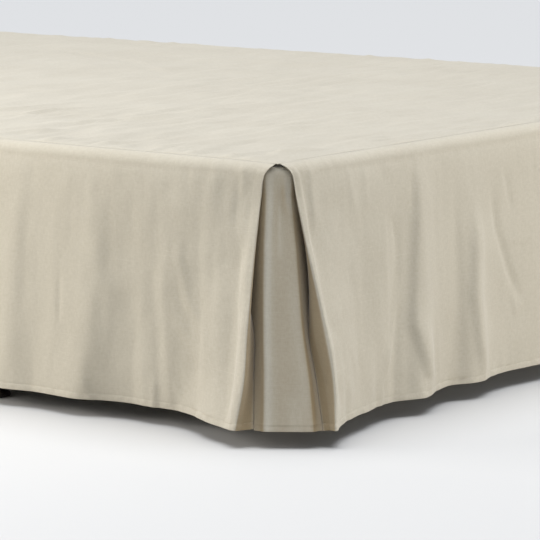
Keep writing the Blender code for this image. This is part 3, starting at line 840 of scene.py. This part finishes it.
def corner_section(pleat, down):
    """The cross-section of a corner piece at places down the cloth, from seam to seam over its two
    creases: points (right, back) from the bed's corner."""
    halves = []
    for letter in "ab":
        lip, inner, crease = pleat_points(End(letter, pleat, False), down, "lip", "inner", "crease")
        away = seam_tail(lip, inner, crease)
        inner = inner + np.stack([away[:, 1], -away[:, 0]], -1) * SEAM_SPREAD
        half = [inner + away * SEAM_ALLOWANCE, inner, crease]
        if letter == "a":
            halves.append([np.stack([-p[:, 1], p[:, 0]], -1) for p in half])
        else:
            halves.append([np.stack([p[:, 0], -p[:, 1]], -1) for p in half])
    (tail_a, inner_a, crease_a), (tail_b, inner_b, crease_b) = halves
    over = unit(crease_b - crease_a)
    before_a = crease_a + unit(inner_a - crease_a) * CREASE_SOFTNESS
    after_a = crease_a + over * FACE_SOFTNESS
    before_b = crease_b - over * CREASE_SOFTNESS
    after_b = crease_b + unit(inner_b - crease_b) * CREASE_SOFTNESS
    turns = [k / ROUND_STEPS for k in range(ROUND_STEPS)]
    section = [tail_a, *steps_between(inner_a, before_a, SLACK_STEPS_A)]
    section += [rounded(before_a, crease_a, after_a, t) for t in turns]
    section += steps_between(after_a, before_b, FACE_STEPS)
    section += [rounded(before_b, crease_b, after_b, t) for t in turns]
    section += [*steps_between(after_b, inner_b, SLACK_STEPS_B), inner_b, tail_b]
    return np.stack(section, axis=1)


def corner_piece(name, node, pleat, across, seed):
    """A corner piece. Across is +1 at the left corner and -1 at the right one."""
    angle, down = [values[:, 0] for values in levels_from(CORNER_ANGLE)]
    section = corner_section(pleat, down)
    tangent = unit(np.gradient(section, axis=1))
    middle = section[len(down) // 2]
    steps = np.linalg.norm(np.diff(middle, axis=0), axis=1)
    cut_along = np.append(0, np.cumsum(steps))
    over_face = (cut_along - cut_along[FACE_FROM]) / (cut_along[FACE_TO] - cut_along[FACE_FROM])
    bow = np.sin(math.pi * np.clip(over_face, 0, 1) ** TOP_PUFF_SKEW)
    fullness = np.clip((TOP_PUFF_DEPTH - down) / TOP_PUFF_DEPTH * TOP_PUFF_FADE, 0, 1)
    puff = TOP_PUFF * fullness[:, None] * bow[None, :]

    out, z = rolled(-CORNER_BACK, angle, down)
    inwards = (-CORNER_BACK - out)[:, None]
    u = section[..., 0] - tangent[..., 1] * inwards - puff * math.sin(CORNER_FACE)
    v = section[..., 1] + tangent[..., 0] * inwards - puff * math.cos(CORNER_FACE)
    seam_sag = LEAVING["b"].sag
    sags = np.full(len(cut_along), CORNER_SAG)
    sags[-3:] = (CORNER_SAG + seam_sag) / 2, seam_sag, seam_sag
    z = z[:, None] - sags[None, :] * growth(down)[:, None]
    x = BED_X + across * (u - BED_WIDTH / 2)
    grid = np.stack([x, FOOT_LEFT[1] + v, z], axis=2)

    places, levels = np.meshgrid(cut_along, down)
    crease_relief = creased(CORNER_CREASES, places / MM, levels / MM)
    raised = crease_relief + lumpy(CORNER_LUMPS, places / MM, levels / MM, seed) + hem_relief(places, levels, seed + 1)
    to_seam = np.minimum(places, places[:, -1:] - places)
    raised *= np.clip((to_seam - HELD_TO) / HELD_OVER, 0, 1)
    cut = np.stack([places + CUT_APART * across, levels], axis=2)
    shares = np.interp(np.arange(len(cut_along)), *zip(*PAINTED_SHADE))
    by_level = PAINTED_SHADE_AT_TOP + (1 - PAINTED_SHADE_AT_TOP) * painted_shade_by_depth(down)
    top_highlight = TOP_PAINTED_HIGHLIGHT * np.exp(-((levels / TOP_PAINTED_HIGHLIGHT_REACH) ** 2))
    # Painted shade and painted highlights, carried to the material.
    shade_paint = shares[None, :] * by_level[:, None] - CREASE_PAINTED_SHADING * crease_relief - top_highlight
    if across < 0:
        grid, cut, raised, shade_paint = [values[:, ::-1] for values in (grid, cut, raised, shade_paint)]
    piece = cloth(name, eased(grid, CORNER_EASING), cut, raised * MM, shade_paint)
    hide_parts(node)


corner_piece("corner_left_linen", "corner_left", FULL_PLEAT, 1, seed=61)
corner_piece("corner_right_linen", "corner_right", EASED_PLEAT, -1, seed=71)

# ----------------------------------------
# Hem stitching. One line of machine stitches in linen-coloured thread along each drop's hem.

STITCH_SIZES = {"Pitch": 3.4 * MM, "Length": 2.5 * MM, "Thread radius": 0.28 * MM}
THREAD_SIDES = 5
THREAD = Finish("linen_thread", {"Base Color": (0.46, 0.40, 0.30, 1), "Roughness": 0.7}).material


def stitch_nodes():
    """Stitches at an even pitch along a line, as Geometry Nodes with named inputs."""
    group = bpy.data.node_groups.new("machine_stitches", "GeometryNodeTree")
    sockets = group.interface
    sockets.new_socket("Line", in_out="INPUT", socket_type="NodeSocketGeometry")
    for size in STITCH_SIZES:
        sockets.new_socket(size, in_out="INPUT", socket_type="NodeSocketFloat")
    sockets.new_socket("Stitches", in_out="OUTPUT", socket_type="NodeSocketGeometry")
    new = group.nodes.new
    given, result = new("NodeGroupInput"), new("NodeGroupOutput")
    line = new("GeometryNodeMeshToCurve")
    places = new("GeometryNodeCurveToPoints")
    places.mode = "LENGTH"
    stitch = new("GeometryNodeMeshCylinder")
    stitch.inputs["Vertices"].default_value = THREAD_SIDES
    turn = new("FunctionNodeAlignRotationToVector")
    turn.axis = "Z"
    instances = new("GeometryNodeInstanceOnPoints")
    single = new("GeometryNodeRealizeInstances")
    finish = new("GeometryNodeSetMaterial")
    finish.inputs["Material"].default_value = THREAD
    for source, output, target, socket in (
        (given, "Line", line, "Mesh"), (line, "Curve", places, "Curve"), (given, "Pitch", places, "Length"),
        (given, "Length", stitch, "Depth"), (given, "Thread radius", stitch, "Radius"),
        (places, "Tangent", turn, "Vector"), (turn, "Rotation", instances, "Rotation"),
        (places, "Points", instances, "Points"), (stitch, "Mesh", instances, "Instance"),
        (instances, "Instances", single, "Geometry"), (single, "Geometry", finish, "Geometry"),
        (finish, "Geometry", result, "Stitches"),
    ):
        group.links.new(source.outputs[output], target.inputs[socket])
    return group


STITCHES = stitch_nodes()


def hem_stitches(name, line):
    """Stitches along a line of points in the cloth. They show where its puckers draw it in."""
    mesh = bpy.data.meshes.new(name)
    mesh.from_pydata(line.tolist(), [(k, k + 1) for k in range(len(line) - 1)], [])
    draft = placed(name, mesh)
    sewing = draft.modifiers.new("stitches", "NODES")
    sewing.node_group = STITCHES
    for item in STITCHES.interface.items_tree:
        if item.name in STITCH_SIZES:
            sewing[item.identifier] = STITCH_SIZES[item.name]
    piece = plain(draft, name)


hem_stitches("hem_stitches_left", left_stitching)
hem_stitches("hem_stitches_foot", foot_stitching)
hem_stitches("hem_stitches_right", right_stitching)

# ----------------------------------------
# Box spring. A padded box in white cotton ticking, with a piped edge round its top and bottom.

PIPING_RADIUS = 2.6 * MM
PIPING_SIDES = 8
PIPING_DOWN = 0.3
PIPING_IN = 0.4
BOX_CORNER = 45 * MM
CORNER_STEPS = 8
BOX_EDGE = 20 * MM
EDGE_STEPS = 6
SIDE_STEPS = 12
SIDE_BULGE = 0.9 * MM
TICKING_BELOW = 0.2 * MM
TICKING_IN = 0.4 * MM
TOP_INSETS = (420 * MM, 210 * MM)
TICKING_WHITE = (0.76, 0.745, 0.70)
WEAVE_SCALE = 900


def ticking():
    """White cotton ticking with a fine weave."""
    finish = Finish("white_ticking", {"Roughness": 0.85})
    weave = finish.noise(finish.add("TexCoord", "Object", {}), WEAVE_SCALE, 2)
    shade = finish.between(weave, 0, 1, 0.9, 1.06)
    colour = finish.add("VectorMath", "Vector", {0: TICKING_WHITE, "Scale": shade}, operation="SCALE")
    finish.show({"Base Color": colour, "Normal": finish.bump(weave, 0.3, 0.3 * MM)})
    return finish.material


TICKING = ticking()


def outline_at(inset):
    """Points round the box spring in plan, drawn in from its sides by an inset. Beyond the round
    corners the outline shrinks towards the middle."""
    half_x, half_y = (box_high.x - box_low.x) / 2, (box_high.y - box_low.y) / 2
    share = 1 - max(0, inset - BOX_CORNER) / half_x
    inset = min(inset, BOX_CORNER - 0.1 * MM)
    corner = BOX_CORNER - inset
    points = []
    for turn, (side_x, side_y) in enumerate(((1, 1), (-1, 1), (-1, -1), (1, -1))):
        for k in range(CORNER_STEPS + 1):
            angle = math.pi / 2 * (turn + k / CORNER_STEPS)
            x = side_x * (half_x - inset - corner) + corner * math.cos(angle)
            y = side_y * (half_y - inset - corner) + corner * math.sin(angle)
            points.append((x * share, y * share))
    return points


def box_rings():
    """(inset, height above the middle) of the rings round the box: from its top over the rounded
    edge, down the bulging sides and on to the underside."""
    half = (box_high.z - box_low.z) / 2
    top = [(inset, half - TICKING_BELOW) for inset in TOP_INSETS]
    for k in range(EDGE_STEPS + 1):
        turn = math.pi / 2 * k / EDGE_STEPS
        inset = BOX_EDGE * (1 - math.sin(turn)) + TICKING_IN
        top.append((inset, half - BOX_EDGE * (1 - math.cos(turn)) - TICKING_BELOW))
    sides = []
    for k in range(1, SIDE_STEPS):
        share = k / SIDE_STEPS
        inset = SIDE_BULGE * (1 - math.sin(math.pi * share)) + TICKING_IN
        sides.append((inset, (half - BOX_EDGE) * (1 - 2 * share)))
    return top + sides + [(inset, -z) for inset, z in reversed(top)]


def ticking_piece(name, rings, closed):
    """A smooth piece in ticking over rings of points, closed at its ends or joined end to end."""
    work = bmesh.new()
    rings = [[work.verts.new(point) for point in ring] for ring in rings]
    for here, other in zip(rings, rings[1:] + ([] if closed else rings[:1])):
        for k in range(len(here)):
            after = (k + 1) % len(here)
            work.faces.new((here[k], other[k], other[after], here[after]))
    if closed:
        work.faces.new(rings[0])
        work.faces.new(rings[-1][::-1])
    bmesh.ops.recalc_face_normals(work, faces=work.faces)
    mesh = bpy.data.meshes.new(name)
    work.to_mesh(mesh)
    work.free()
    mesh.shade_smooth()
    mesh.materials.append(TICKING)
    piece = placed(name, mesh)
    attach(piece, "root")
    return piece


def box_spring():
    middle = (box_low.z + box_high.z) / 2
    rings = [[(BED_X + x, BED_Y + y, middle + z) for x, y in outline_at(inset)] for inset, z in box_rings()]
    piece = ticking_piece("box_spring_ticking", rings, closed=True)
    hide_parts("box_spring")


def piping(name, z):
    """A cord of the same ticking sewn round the box spring's edge, half sunk into it."""
    outline = outline_at(BOX_EDGE * PIPING_DOWN + PIPING_RADIUS * PIPING_IN)
    turns = [2 * math.pi * k / PIPING_SIDES for k in range(PIPING_SIDES)]
    rings, up = [], Vector((0, 0, 1))
    for k, (x, y) in enumerate(outline):
        before, after = outline[k - 1], outline[(k + 1) % len(outline)]
        ahead = Vector((after[0] - before[0], after[1] - before[1], 0)).normalized()
        centre, aside = Vector((BED_X + x, BED_Y + y, z)), ahead.cross(up)
        rings.append([centre + (aside * math.cos(t) + up * math.sin(t)) * PIPING_RADIUS for t in turns])
    ticking_piece(name, rings, closed=False)


box_spring()
piping("piping_top", box_high.z - (BOX_EDGE + PIPING_RADIUS) * PIPING_DOWN)
piping("piping_bottom", box_low.z + (BOX_EDGE + PIPING_RADIUS) * PIPING_DOWN)

# ----------------------------------------
# Bed frame. Rolled angle-steel rails and bars and round steel legs, powder-coated dark brown. The
# glides are moulded in black-brown plastic.

STEEL_BROWN = (0.045, 0.035, 0.03)
GLIDE_BROWN = (0.028, 0.019, 0.015)
SHEEN_RANGE = 0.1
DARKEST, PALEST = 0.8, 1.25


def coated(name, colour, roughness, metallic, grain):
    """A finish with a faint grain in its sheen and a little wear in its colour."""
    finish = Finish(name, {"Metallic": metallic})
    noise = finish.noise(finish.add("TexCoord", "Object", {}), grain, 4)
    sheen = finish.between(noise, 0, 1, roughness - SHEEN_RANGE, roughness + SHEEN_RANGE)
    dark, pale = [(*(c * share for c in colour), 1) for share in (DARKEST, PALEST)]
    finish.show({"Roughness": sheen, "Base Color": finish.mixed("MIX", noise, dark, pale)})
    return finish.material


finishes = {
    "frame_steel": coated("powder_coated_steel", STEEL_BROWN, roughness=0.45, metallic=0.4, grain=300),
    "glide_plastic": coated("glide_plastic", GLIDE_BROWN, roughness=0.5, metallic=0.0, grain=500),
}
for piece in bpy.data.objects:
    for place in piece.material_slots:
        for slot, finish in finishes.items():
            if place.material and place.material.name.startswith(slot):
                place.material = finish

# ----------------------------------------
# Stage. A pale floor under soft light from above and from both sides. A long lens looks at the
# left foot corner from a little above the deck.

CAMERA_TURN = math.radians(-53.2178)
CAMERA_RISE = math.radians(8.6107)
CAMERA_DISTANCE = 5.0232
TARGET_RIGHT, TARGET_UP = -0.0149, -0.1515
CORNER_HEIGHT = 0.408
LENS, SENSOR = 233.3, 36
FLOOR_REACH = 60
FLOOR_GREY = (0.52, 0.51, 0.485, 1)
OVERHEAD_STRENGTH = 3.95
OVERHEAD_COLOUR = (0.96, 0.99, 1.06)
OVERHEAD_SPREAD = math.radians(60)
WARM = (1.0, 0.97, 0.93)
ROOM_COLOUR = (0.91, 0.98, 1.10, 1)
ROOM_STRENGTH = 0.25

mesh = bpy.data.meshes.new("floor")
floor_corners = [(x * FLOOR_REACH, y * FLOOR_REACH, 0) for x, y in ((-1, -1), (1, -1), (1, 1), (-1, 1))]
mesh.from_pydata(floor_corners, [], [(0, 1, 2, 3)])
mesh.materials.append(Finish("floor_paint", {"Base Color": FLOOR_GREY, "Roughness": 0.9}).material)
floor = placed("floor", mesh)

outwards = Vector((math.sin(CAMERA_TURN), -math.cos(CAMERA_TURN), 0))
back = outwards * math.cos(CAMERA_RISE) + Vector((0, 0, math.sin(CAMERA_RISE)))
right = Vector((math.cos(CAMERA_TURN), math.sin(CAMERA_TURN), 0))
above = back.cross(right)
corner = Vector((*FOOT_LEFT, CORNER_HEIGHT))
target = corner + right * TARGET_RIGHT + above * TARGET_UP
camera_data = bpy.data.cameras.new("camera")
camera_data.lens = LENS
camera_data.sensor_width = SENSOR
camera = placed("camera", camera_data)
view = Matrix((right, above, back)).transposed()
camera.matrix_world = Matrix.Translation(target + back * CAMERA_DISTANCE) @ view.to_4x4()
bpy.context.scene.camera = camera


def softbox(name, place, aim, size, power):
    """A warm upright area light. Its place and aim are metres from the left foot corner."""
    data = bpy.data.lights.new(name, "AREA")
    data.shape = "RECTANGLE"
    data.size, data.size_y = size
    data.energy = power
    data.color = WARM
    light = placed(name, data)
    light.location = corner + Vector(place)
    light.rotation_euler = (Vector(aim) - Vector(place)).to_track_quat("-Z", "Y").to_euler()


overhead = bpy.data.lights.new("overhead", "SUN")
overhead.energy = OVERHEAD_STRENGTH
overhead.color = OVERHEAD_COLOUR
overhead.angle = OVERHEAD_SPREAD
placed("overhead", overhead)
softbox("left_softbox", place=(-1.0, 2.0, 0.3), aim=(0, 0.7, -0.2), size=(1.4, 0.7), power=37)
softbox("right_softbox", place=(1.95, -2.25, -0.05), aim=(0.5, 0, -0.2), size=(1.6, 0.5), power=41)

world = bpy.data.worlds.new("room")
world.use_nodes = True
background = world.node_tree.nodes["Background"]
background.inputs["Color"].default_value = ROOM_COLOUR
background.inputs["Strength"].default_value = ROOM_STRENGTH
bpy.context.scene.world = world
bpy.context.scene.view_settings.view_transform = "Standard"
